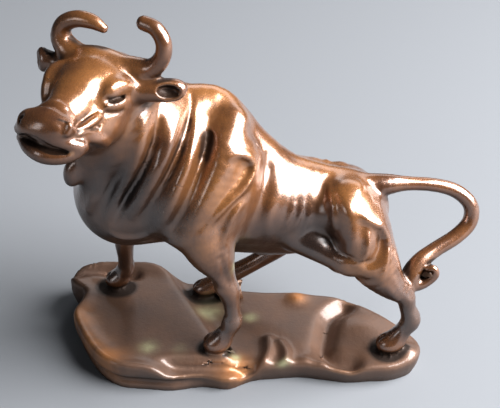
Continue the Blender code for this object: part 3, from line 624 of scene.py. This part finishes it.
def welt(x, y, points, wide):
    """One along a smooth line drawn on the rock, and falling to nothing beside it."""
    spot, best = np.column_stack([x, y]), np.full(len(x), 1e9)
    line = smooth_line(points, per_span=3)
    for a, b in zip(line[:-1], line[1:]):
        along = np.clip((spot - a) @ (b - a) / ((b - a) @ (b - a)), 0, 1)
        best = np.minimum(best, np.linalg.norm(spot - a - along[:, None] * (b - a), axis=1))
    return np.exp(-((best / wide) ** 2))


# Lines on the rock: the groove behind the left lobe, two ripples and the crescent hollow on the right.
LOBE_GROOVE = ((-32.4, 10.4), (-29.4, 11.6), (-25.2, 11.8), (-21.6, 11.2))
RIPPLES = (
    ((3.2, -6.0), (3.2, -9.4), (2.2, -12.2), (0.8, -14.4)),
    ((5.2, -7.0), (6.2, -9.6), (5.8, -13.0)),
)
HOLLOW = ((17.0, 3.6), (14.4, 0.8), (13.2, -4.4), (12.7, -8.0), (14.4, -10.4), (17.2, -11.4))


def ground(x, y, side):
    """Height of the rock's upper face: a slab on the left, a ledge before it and a hollow on the right."""
    x, y = x / FIGURE, y / FIGURE
    height = 1.3 * step(-8.7 - 0.5 * y - x, 0.5)
    height += 1.0 * np.exp(-((side / 2.0) ** 2)) * step(-17 - x, 1.5)
    height += 0.9 * bump(x, y, -29.5, 10.5, 3.6) - 1.3 * welt(x, y, LOBE_GROOVE, 1.2)
    height -= 2.2 * step(-11.9 - y, 0.3) * step(x + 14.5, 0.8) * step(1.6 - x, 0.5)
    for ripple in RIPPLES:
        height += welt(x, y, ripple, 1.0)
    height -= 1.9 * welt(x, y, HOLLOW, 1.7)
    height += 0.9 * bump(x, y, 19.8, -2.8, 4.2) + 1.2 * bump(x, y, 27.0, -9.2, 1.9)
    height += 0.7 * bump(x, y, 8.4, 5.6, 1.7)
    height += 0.4 * bump(x, y, 9.4, -11.0, 1.1) + 0.4 * bump(x, y, 12.6, -11.4, 1.2)
    return BASE_THICKNESS + height


def base_distance(points):
    """Signed distance to the rock, with its wall drawn in under the rim on the left."""
    found = np.full(len(points), FAR_AWAY)
    low = points[:, 2] < BASE_THICKNESS + 6
    x, y, z = points[low].T
    plan = outline_distance(x, y)
    share = np.clip(z / BASE_THICKNESS, 0, 1)
    side = plan + BASE_FOOT * (1 - share) ** 2
    side += 1.1 * np.exp(-(((share - 0.5) / 0.24) ** 2)) * step(-9 - x, 1.5) * step(4 - y, 2.0)
    top = -smooth_union(-side, -(z - ground(x, y, plan)), 1.0)
    found[low] = np.maximum(top, -(z + BELOW_FLOOR))
    return found


# The whole casting


class Casting:
    """Everything that the casting is made of, and how far any point is from its skin."""

    def __init__(self):
        face_masses, face_strokes = face_detail()
        leg_masses, leg_strokes, clefts = leg_detail()
        self.masses = [*bull(), *face_masses, *leg_masses]
        self.cuts = [mouth(), *ear_cups(), *face_cuts(), *clefts]
        self.folds = [*folds(), *body_folds(), *face_strokes, *leg_strokes]

    def bull_distance(self, points):
        found = np.full(len(points), FAR_AWAY)
        for mass in self.masses:
            low, high = mass.reach()
            margin = mass.blend + 3.0
            near = ((points > low - margin) & (points < high + margin)).all(1)
            if near.any():
                found[near] = smooth_union(found[near], mass.distance(points[near]), mass.blend)
        for tool in self.cuts:
            low, high = tool.reach()
            near = ((points > low - 2) & (points < high + 2)).all(1)
            if near.any():
                found[near] = smooth_cut(found[near], tool.distance(points[near]), CUT_BLEND)
        close = np.abs(found) < 3
        for fold in self.folds:
            found[close] -= fold.lift(points[close])
        return found

    def distance(self, points):
        return smooth_union(self.bull_distance(points), base_distance(points), BASE_BLEND)

    def slope(self, points, step=0.05):
        total = np.zeros_like(points)
        for corner in ((1, -1, -1), (-1, -1, 1), (-1, 1, -1), (1, 1, 1)):
            corner = np.array(corner, float)
            total += corner * self.distance(points + corner * step)[:, None]
        return total / (4 * step)


def points_of(data):
    points = np.empty(len(data.vertices) * 3)
    data.vertices.foreach_get("co", points)
    return points.reshape(-1, 3)


def normals_of(data):
    normals = np.empty(len(data.vertices) * 3)
    data.vertex_normals.foreach_get("vector", normals)
    return normals.reshape(-1, 3)


def put_points(data, points):
    data.vertices.foreach_set("co", points.ravel())
    data.update()


def rough_mesh(casting):
    """Every mass as its own closed shell, overlapping its neighbours."""
    mesh = bmesh.new()
    for mass in casting.masses:
        mass.add_to(mesh)
    foot = [mesh.verts.new((x, y, -BELOW_FLOOR)) for x, y in base_outline()]
    face = mesh.faces.new(foot)
    raised = bmesh.ops.extrude_face_region(mesh, geom=[face])["geom"]
    for vertex in raised:
        if isinstance(vertex, bmesh.types.BMVert):
            vertex.co.z = BASE_THICKNESS + 1
    return mesh


def reskin(obj, size):
    """Joins what overlaps into one skin of even faces, and drops the pockets shut inside it."""
    skin = obj.modifiers.new("skin", "REMESH")
    skin.mode = "VOXEL"
    skin.voxel_size = size
    graph = bpy.context.evaluated_depsgraph_get()
    data = bpy.data.meshes.new_from_object(obj.evaluated_get(graph))
    obj.modifiers.remove(skin)
    mesh = bmesh.new()
    mesh.from_mesh(data)
    shells, seen = [], set()
    for start in mesh.verts:
        if start in seen:
            continue
        shell, found = [start], {start}
        for vertex in shell:
            for edge in vertex.link_edges:
                other = edge.other_vert(vertex)
                if other not in found:
                    found.add(other)
                    shell.append(other)
        seen |= found
        shells.append(shell)
    shells.sort(key=len)
    pockets = [vertex for shell in shells[:-1] for vertex in shell]
    bmesh.ops.delete(mesh, geom=pockets, context="VERTS")
    mesh.to_mesh(data)
    mesh.free()
    obj.data = data


def settle(data, casting, rounds):
    """Draws the skin along its own normals onto the smoothly blended masses."""
    points = points_of(data)
    for _ in range(rounds):
        step = np.clip(casting.distance(points), -0.6, 0.6)
        points -= step[:, None] * normals_of(data)
        put_points(data, points)


def settle_squarely(data, casting, rounds):
    """Draws the skin straight down the slope of the distance, for the first rough skin."""
    points = points_of(data)
    for _ in range(rounds):
        distance, slope = casting.distance(points), casting.slope(points)
        step = distance / np.maximum((slope**2).sum(1), 0.2)
        points = points - np.clip(step, -0.8, 0.8)[:, None] * slope
    put_points(data, points)


def refine(data, chosen):
    """Cuts the edges between the chosen points in two."""
    mesh = bmesh.new()
    mesh.from_mesh(data)
    mesh.verts.ensure_lookup_table()
    wanted = set(chosen.tolist())
    edges = [edge for edge in mesh.edges if all(vertex.index in wanted for vertex in edge.verts)]
    bmesh.ops.subdivide_edges(mesh, edges=edges, cuts=1, use_grid_fill=True)
    bmesh.ops.triangulate(mesh, faces=[face for face in mesh.faces if len(face.verts) > 4])
    mesh.to_mesh(data)
    mesh.free()


def cut_flat_below(data):
    """Cuts the base flat where it stands on the floor."""
    mesh = bmesh.new()
    mesh.from_mesh(data)
    everything = [*mesh.verts, *mesh.edges, *mesh.faces]
    bmesh.ops.bisect_plane(mesh, geom=everything, dist=1e-5, plane_co=(0, 0, 0), plane_no=(0, 0, -1),
                           clear_outer=True)
    rim = [edge for edge in mesh.edges if edge.is_boundary]
    bmesh.ops.contextual_create(mesh, geom=rim)
    bmesh.ops.triangulate(mesh, faces=[face for face in mesh.faces if len(face.verts) > 4])
    mesh.to_mesh(data)
    mesh.free()


def glow(points, spots):
    """One at the middle of each spot (x, y, z, reach), falling to nothing away from it."""
    best = np.zeros(len(points))
    for *centre, reach in spots:
        best = np.maximum(best, np.exp(-((points - centre) ** 2).sum(1) / reach**2))
    return best


# Where the patina is worn to gold, with one painted lit patch on the near thigh; where it stays dusky, with
# painted shade before the near eye, low on the belly and on the lower legs; and where verdigris has grown.
# Gold worn on the high masses and rims; the spots near (17.5, -10, 23) paint a lit patch on the near thigh
# as painted light
GOLDEN_AND_LIT = (
    (-6.5, 0, 50, 6.5), (-6.5, -11.5, 38, 5.2), (-8.5, -12.0, 32, 4.5), (15.6, -6.0, 35, 4.5),
    (17.5, -10, 23, 3.6), (12, 3, 36, 6), (-31.0, -3, 5, 3.4), (-28.6, -8, 4.5, 3.4),
    (-24.5, -12.6, 4.2, 3), (-2.0, -13, 2.5, 3), (8.5, 6, 5, 1.6), (17.5, -10.5, 22.8, 3.2),
    (-2.6, -8, 40.6, 3.6),
    (-21.5, -12, 57, 5.0), (-16.5, -10, 51, 3.5), (-22, -7, 62, 5), (-29, -13, 60, 4),
)
# Dusky spots: the darker patina of neck and brisket, and painted shade before the near eye, low on the
# belly and on the lower legs
DUSKY_AND_SHADE = (
    (-20, -9, 37, 9.5), (-15, -10, 33, 7), (-24, -6, 31, 6), (4, -9, 25, 7), (10, -7, 26, 6),
    (-4, -4, 24, 7), (-21.0, -16.0, 58.6, 1.6), (-19.4, -14.8, 56.4, 1.1), (-4.6, -10.4, 13.0, 4.5),
    (25.6, -9.2, 12.5, 4.5), (-23.6, 6.8, 12.5, 4.5), (-27.0, -4.0, 31.0, 4.5),
)
VERDIGRIS = (
    (-0.8, -9.6, 26.5, 1.3), (-2.4, -10.4, 23.5, 1.0), (-7.2, 1.8, 4.4, 2.2), (0.0, 0.2, 4.2, 1.2),
    (-17.4, -9.2, 5.3, 1.5), (-12.0, -9.5, 4.2, 1.2), (-2.5, -10.6, 4.0, 0.9), (5.6, -12.4, 4.4, 1.0),
)


def note_wear_and_painted_light(data, casting):
    """Marks hollows, which the patina and painted shade darken, down-facing skin for painted shade, crests
    that handling rubs bright, and spots of gold (with a painted lit patch), of dusk (with painted shade)
    and of verdigris.
    """
    points, normals = points_of(data), normals_of(data)
    marks = {
        # hollow and deep_hollow mark the folds, where the colour is darkened: patina gathered there, and
        # painted shade
        "hollow": 1 - casting.distance(points + 0.5 * normals) / 0.5,
        "deep_hollow": 1 - casting.distance(points + 1.8 * normals) / 1.8,
        "crest": 1 + casting.distance(points - 0.5 * normals) / 0.5,
        "rock": np.clip(1 - (base_distance(points) - 0.1) / 0.5, 0, 1),
        "golden": glow(points, GOLDEN_AND_LIT),
        "dusky_and_shade": glow(points, DUSKY_AND_SHADE),
        # Painted shade: marks the down-facing skin, which the colour darkens
        "under": 0.4 - 1.3 * normals[:, 2],
        "verdigris": glow(points, VERDIGRIS),
    }
    for name, values in marks.items():
        layer = data.attributes.new(name, "FLOAT", "POINT")
        layer.data.foreach_set("value", np.clip(values, 0, 1).astype(np.float32))


# Patina


def feed(tree, socket, value):
    """Links a socket's value, or sets a plain one."""
    if isinstance(value, bpy.types.NodeSocket):
        tree.links.new(value, socket)
    else:
        socket.default_value = value


def mix_colour(tree, at, share, below, above):
    made = tree.nodes.new("ShaderNodeMix")
    made.data_type = "RGBA"
    made.location = at
    for socket, value in ((made.inputs[0], share), (made.inputs[6], below), (made.inputs[7], above)):
        feed(tree, socket, value)
    return made.outputs[2]


def maths(tree, at, operation, *values, clamp=False):
    made = tree.nodes.new("ShaderNodeMath")
    made.operation = operation
    made.use_clamp = clamp
    made.location = at
    for socket, value in zip(made.inputs, values):
        feed(tree, socket, value)
    return made.outputs[0]


def spread(tree, at, value, low, high):
    made = tree.nodes.new("ShaderNodeMapRange")
    made.location = at
    made.inputs["From Min"].default_value = low
    made.inputs["From Max"].default_value = high
    tree.links.new(value, made.inputs["Value"])
    return made.outputs[0]


def noise(tree, at, scale, detail=4.0, rough=0.5):
    made = tree.nodes.new("ShaderNodeTexNoise")
    made.location = at
    made.inputs["Scale"].default_value = scale
    made.inputs["Detail"].default_value = detail
    made.inputs["Roughness"].default_value = rough
    place = tree.nodes.get("place") or tree.nodes.new("ShaderNodeTexCoord")
    place.name = "place"
    place.location = (-1600, 0)
    tree.links.new(place.outputs["Object"], made.inputs["Vector"])
    return made.outputs[0]


def mark(tree, at, name):
    made = tree.nodes.new("ShaderNodeAttribute")
    made.attribute_name = name
    made.location = at
    return made.outputs["Fac"]


def streaks(tree, at):
    """Fine combed lines that follow the fall of the neck's folds."""
    turn = tree.nodes.new("ShaderNodeMapping")
    turn.location = (at[0] - 200, at[1])
    turn.inputs["Rotation"].default_value = (0, math.radians(-20), 0)
    turn.inputs["Scale"].default_value = (1, 1, 0.09)
    made = tree.nodes.new("ShaderNodeTexNoise")
    made.location = at
    made.inputs["Scale"].default_value = 1300
    made.inputs["Detail"].default_value = 3
    tree.links.new(tree.nodes["place"].outputs["Object"], turn.inputs["Vector"])
    tree.links.new(turn.outputs[0], made.inputs["Vector"])
    return made.outputs[0]


def bronze(sizes):
    material = bpy.data.materials.new("patinated_bronze")
    material.use_nodes = True
    tree = material.node_tree
    shader = tree.nodes["Principled BSDF"]
    hollow = mark(tree, (-1400, 300), "hollow")
    deep = mark(tree, (-1400, 150), "deep_hollow")
    crest = mark(tree, (-1400, 0), "crest")
    rock = mark(tree, (-1400, -150), "rock")
    golden = mark(tree, (-1400, -900), "golden")
    dusky_and_shade = mark(tree, (-1400, -1050), "dusky_and_shade")
    green = mark(tree, (-1400, -1200), "verdigris")
    under = mark(tree, (-1400, -1500), "under")
    cloud = noise(tree, (-1400, -350), 140, 5, 0.6)
    grain = noise(tree, (-1400, -550), 1500, 4, 0.65)
    pits = noise(tree, (-1400, -750), 3400, 2, 0.5)
    combed = streaks(tree, (-1400, -1350))

    clouded = spread(tree, (-1200, -350), cloud, 0.32, 0.68)
    colour = mix_colour(tree, (-1000, 300), clouded, (*sizes.brown, 1), (*sizes.warm, 1))
    # Gold where the patina is worn, and painted light: a lit patch on the near thigh
    worn_and_lit = maths(tree, (-1200, -900), "MULTIPLY", golden, spread(tree, (-1200, -800), cloud, 0.2, 0.55))
    colour = mix_colour(tree, (-950, 300), worn_and_lit, colour, (*sizes.gold, 1))
    # Dusk: the neck's darker patina, and painted shade at the eye hollow, the belly and the lower legs
    share = maths(tree, (-1000, -1050), "MULTIPLY", dusky_and_shade, 0.85)
    colour = mix_colour(tree, (-900, 300), share, colour, (*sizes.dusk_and_shade, 1))
    share = maths(tree, (-1000, 50), "MULTIPLY", rock, 0.7)
    colour = mix_colour(tree, (-800, 300), share, colour, (*sizes.rock, 1))
    rim = maths(tree, (-900, -200), "MULTIPLY", rock, worn_and_lit)
    colour = mix_colour(tree, (-700, 300), rim, colour, (*sizes.gold, 1))
    share = maths(tree, (-800, 0), "MULTIPLY", spread(tree, (-1000, -100), crest, 0.3, 0.9), 0.5)
    colour = mix_colour(tree, (-600, 300), share, colour, (*sizes.rubbed, 1))
    # Dark in folds and hollows: the patina that gathers there, and painted shade
    shade = maths(tree, (-1000, 500), "MAXIMUM", spread(tree, (-1200, 500), hollow, 0.12, 0.7),
                  spread(tree, (-1200, 650), deep, 0.15, 0.6))
    # Painted shade: the down-facing skin is darkened towards the dark colour too
    shade = maths(tree, (-800, 500), "MAXIMUM", shade, maths(tree, (-1000, -1500), "MULTIPLY", under, 0.75))
    share = maths(tree, (-600, 500), "MULTIPLY", shade, 0.9)
    colour = mix_colour(tree, (-400, 300), share, colour, (*sizes.dark, 1))
    grown = maths(tree, (-600, -1200), "MULTIPLY", green, spread(tree, (-800, -1200), cloud, 0.3, 0.6))
    share = maths(tree, (-450, -1200), "MULTIPLY", grown, 0.75)
    colour = mix_colour(tree, (-300, 300), share, colour, (*sizes.green, 1))
    tree.links.new(colour, shader.inputs["Base Color"])

    rough = maths(tree, (-800, -300), "MULTIPLY_ADD", grain, 0.2, sizes.roughness - 0.1)
    rough = maths(tree, (-600, -300), "MULTIPLY_ADD", shade, 0.2, rough)
    rough = maths(tree, (-500, -300), "MULTIPLY_ADD", grown, 0.4, rough)
    rough = maths(tree, (-400, -300), "MULTIPLY_ADD", rock, 0.26, rough, clamp=True)
    tree.links.new(rough, shader.inputs["Roughness"])
    metal = maths(tree, (-400, -100), "MULTIPLY_ADD", grown, -0.5, 0.55, clamp=True)
    tree.links.new(metal, shader.inputs["Metallic"])
    dull = maths(tree, (-700, -1500), "MAXIMUM", under, maths(tree, (-900, -1500), "MULTIPLY", rock, 0.8))
    dull = maths(tree, (-500, -1500), "MAXIMUM", dull, maths(tree, (-700, -1650), "MULTIPLY", shade, 1.1))
    coat = maths(tree, (-300, -1500), "MULTIPLY_ADD", dull, -0.8, 0.9, clamp=True)
    tree.links.new(coat, shader.inputs["Coat Weight"])
    shader.inputs["Coat Roughness"].default_value = 0.22
    shader.inputs["Coat IOR"].default_value = 2.1

    relief = maths(tree, (-600, -600), "MULTIPLY_ADD", pits, 0.3, grain)
    combing = maths(tree, (-900, -1350), "MULTIPLY_ADD", dusky_and_shade, 2.2, 0.3)
    combing = maths(tree, (-700, -1350), "MULTIPLY", combed, combing)
    relief = maths(tree, (-450, -600), "ADD", relief, combing)
    bump = tree.nodes.new("ShaderNodeBump")
    bump.location = (-300, -600)
    bump.inputs["Strength"].default_value = 0.4
    bump.inputs["Distance"].default_value = 0.00014
    tree.links.new(relief, bump.inputs["Height"])
    tree.links.new(bump.outputs["Normal"], shader.inputs["Normal"])
    return material


def stage_material(sizes):
    material = bpy.data.materials.new("studio_paper")
    material.use_nodes = True
    shader = material.node_tree.nodes["Principled BSDF"]
    shader.inputs["Base Color"].default_value = (*sizes.floor, 1)
    shader.inputs["Roughness"].default_value = 0.8
    return material


# Settings, operators and panel


def colour_setting(name, description, default):
    return FloatVectorProperty(name=name, description=description, subtype="COLOR", default=default, min=0,
                               max=1)


class BULL_PG_sizes(bpy.types.PropertyGroup):
    skin: FloatProperty(name="Skin fineness", description="Edge length of the skin, in millimetres",
                        default=0.405, min=0.2, max=1.5)
    brown: colour_setting("Brown", "The patina's main brown", (0.095, 0.034, 0.014))
    warm: colour_setting("Warm brown", "The patina where it is thinner", (0.30, 0.112, 0.034))
    # The dark colour is the patina in folds and also painted shade there and under the body
    dark: colour_setting("Dark", "The patina in folds and hollows", (0.012, 0.007, 0.005))
    rubbed: colour_setting("Rubbed", "Bare bronze on the rubbed crests", (0.52, 0.25, 0.11))
    rock: colour_setting("Rock", "The greyer brown of the base", (0.125, 0.083, 0.064))
    # Gold also paints a lit patch on the near thigh as painted light
    gold: colour_setting("Gold", "The golden brown of the high masses", (0.46, 0.18, 0.050))
    # Dusk is also painted shade before the near eye, on the belly and on the lower legs
    dusk_and_shade: colour_setting("Dusk", "The dark plum brown of neck and belly", (0.036, 0.022, 0.018))
    green: colour_setting("Verdigris", "The pale green in a few corners", (0.36, 0.38, 0.20))
    roughness: FloatProperty(name="Roughness", description="How dull the polished patina is", default=0.27,
                             min=0.05, max=0.9, subtype="FACTOR")
    floor: colour_setting("Floor", "Colour of the studio floor", (0.20, 0.21, 0.225))
    light: FloatProperty(name="Light", description="Strength of all the studio's lamps", default=1.0, min=0,
                         max=5)


class BULL_OT_casting(bpy.types.Operator):
    """Model the bull and its base as one casting, and give it its patina"""

    bl_idname = "bull.casting"
    bl_label = "Bronze casting"

    def execute(self, context):
        sizes = context.scene.bull_sizes
        casting = Casting()
        rough = rough_mesh(casting)
        data = bpy.data.meshes.new("bull_casting")
        rough.to_mesh(data)
        rough.free()
        obj = bpy.data.objects.new("bull_casting", data)
        context.scene.collection.objects.link(obj)
        reskin(obj, FIRST_SKIN)
        settle_squarely(obj.data, casting, 4)
        reskin(obj, sizes.skin)
        settle(obj.data, casting, 4)
        points = points_of(obj.data)
        from_head = np.linalg.norm((points - HEAD.point(HEAD_MIDDLE)) / (1, 1, 0.9), axis=1)
        refine(obj.data, np.flatnonzero(from_head < HEAD_REACH))
        settle(obj.data, casting, 2)
        cut_flat_below(obj.data)
        obj.data.update()
        note_wear_and_painted_light(obj.data, casting)
        place = Matrix.Scale(MM, 4) @ Matrix.Translation((-CENTRE[0], -CENTRE[1], 0))
        obj.data.transform(place)
        for polygon in obj.data.polygons:
            polygon.use_smooth = True
        obj.data.materials.append(bronze(sizes))
        obj.data.name = "bull_casting"
        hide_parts("bull_on_rock_base")
        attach(obj, "root")
        return {"FINISHED"}


class BULL_OT_stage(bpy.types.Operator):
    """Set out the floor, the lamps and the camera"""

    bl_idname = "bull.stage"
    bl_label = "Studio"

    def execute(self, context):
        sizes = context.scene.bull_sizes
        mesh = bmesh.new()
        bmesh.ops.create_grid(mesh, x_segments=1, y_segments=1, size=3)
        data = bpy.data.meshes.new("studio_floor")
        mesh.to_mesh(data)
        mesh.free()
        data.materials.append(stage_material(sizes))
        floor = bpy.data.objects.new("studio_floor", data)
        context.scene.collection.objects.link(floor)

        world = bpy.data.worlds.new("studio_air")
        world.use_nodes = True
        air = world.node_tree.nodes["Background"]
        air.inputs["Color"].default_value = AIR_COLOUR
        air.inputs["Strength"].default_value = AIR_STRENGTH * sizes.light
        context.scene.world = world

        target = Vector((-CENTRE[0], -CENTRE[1], LOOKED_AT)) * MM
        for name, where, wide, tall, power, colour in LAMPS:
            lamp = bpy.data.lights.new(name, "AREA")
            lamp.shape = "RECTANGLE"
            lamp.size, lamp.size_y = wide, tall
            lamp.energy = power * sizes.light
            lamp.color = colour
            holder = bpy.data.objects.new(name, lamp)
            holder.location = target + Vector(where)
            holder.rotation_euler = (-Vector(where)).to_track_quat("-Z", "Y").to_euler()
            context.scene.collection.objects.link(holder)

        camera = bpy.data.cameras.new("camera")
        camera.sensor_width = 36
        camera.lens = CAMERA_LENS
        camera.clip_start = 0.01
        holder = bpy.data.objects.new("camera", camera)
        raised = math.radians(LOOKING_DOWN)
        back = Vector((0, -math.cos(raised), math.sin(raised)))
        holder.location = target + back * CAMERA_DISTANCE
        holder.rotation_euler = (-back).to_track_quat("-Z", "Y").to_euler()
        context.scene.collection.objects.link(holder)
        context.scene.camera = holder
        context.scene.view_settings.view_transform = "Standard"
        return {"FINISHED"}


class BULL_PT_panel(bpy.types.Panel):
    """The bronze's settings and steps"""

    bl_idname = "BULL_PT_panel"
    bl_label = "Cast bronze bull"
    bl_space_type = "VIEW_3D"
    bl_region_type = "UI"
    bl_category = "Bronze"

    def draw(self, context):
        sizes = context.scene.bull_sizes
        for name in BULL_PG_sizes.__annotations__:
            self.layout.prop(sizes, name)
        self.layout.operator("bull.casting")
        self.layout.operator("bull.stage")


CLASSES = (BULL_PG_sizes, BULL_OT_casting, BULL_OT_stage, BULL_PT_panel)


def register():
    for cls in CLASSES:
        bpy.utils.register_class(cls)
    bpy.types.Scene.bull_sizes = PointerProperty(type=BULL_PG_sizes)


def unregister():
    del bpy.types.Scene.bull_sizes
    for cls in reversed(CLASSES):
        bpy.utils.unregister_class(cls)


def main():
    register()
    bpy.ops.bull.casting()
    bpy.ops.bull.stage()


if __name__ == "__main__":
    main()
